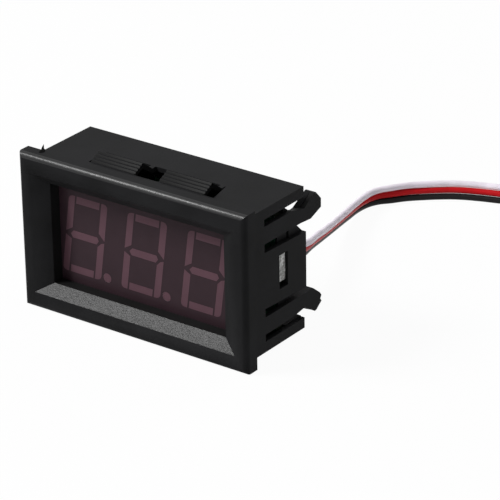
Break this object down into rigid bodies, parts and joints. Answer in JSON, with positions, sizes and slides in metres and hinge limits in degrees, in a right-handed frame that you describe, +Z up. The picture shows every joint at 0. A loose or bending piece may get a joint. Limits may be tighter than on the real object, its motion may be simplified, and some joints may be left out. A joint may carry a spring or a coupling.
{
  "type": "digital panel meter",
  "caption": "Snap-in panel meter: rectangular bezel, recessed seven-segment display, open-backed case with side arms, circuit board and ribbon lead.",
  "frame": {"origin": "under the middle of the meter, on the surface that the bezel's bottom edge stands on; the lead is left out of the middle", "axes": "X to the right seen from the front, -Y out of the display, +Z up"},
  "size_m": [0.0672, 0.087, 0.029],
  "materials": {
    "case_plastic": "fine-grained black moulding",
    "display_face": "dark smooth face",
    "segment_epoxy": "unlit pinkish diffused epoxy",
    "die": "bare dies",
    "board": "green solder mask",
    "potting": "milky epoxy",
    "tinned_metal": "tinned",
    "solder": "soldered",
    "chip_plastic": "moulded epoxy",
    "resistor": "glazed",
    "ceramic": "fired ceramic",
    "trimmer_plastic": "moulded",
    "brass_plated": "plated and stamped",
    "wire_white": "satin vinyl",
    "wire_red": "satin vinyl",
    "wire_black": "satin vinyl",
    "tie_plastic": "moulded"
  },
  "bodies": {
    "meter": {"housing": "case_plastic", "display_shell": "display_face", "segments_left": "segment_epoxy", "segments_middle": "segment_epoxy", "segments_right": "segment_epoxy", "decimal_points": "segment_epoxy", "led_dice": "die", "display_board": "board", "display_potting": "potting", "display_pins": "tinned_metal", "circuit_board": "board", "pin_solder": "solder", "controller_body": "chip_plastic", "controller_leads": "tinned_metal", "regulator_body": "chip_plastic", "regulator_leads": "tinned_metal", "diode_body": "chip_plastic", "diode_leads": "tinned_metal", "filter_capacitors": "ceramic", "chip_resistors": "resistor", "chip_capacitors": "ceramic", "trimmer_base": "trimmer_plastic", "trimmer_leads": "tinned_metal", "wire_solder": "solder", "wire_white": "wire_white", "wire_red": "wire_red", "wire_black": "wire_black", "coil_white": "wire_white", "coil_red": "wire_red", "coil_black": "wire_black", "wire_tie": "tie_plastic"},
    "trimmer": {"trimmer_rotor": "brass_plated"}
  },
  "joints": [
    {"name": "trimmer_turn", "type": "hinge", "parent": "meter", "child": "trimmer", "pos_m": [-0.0146, 0.0045, 0.0144], "axis": [0, 1, 0], "range_deg": [-105, 105]}
  ]
}
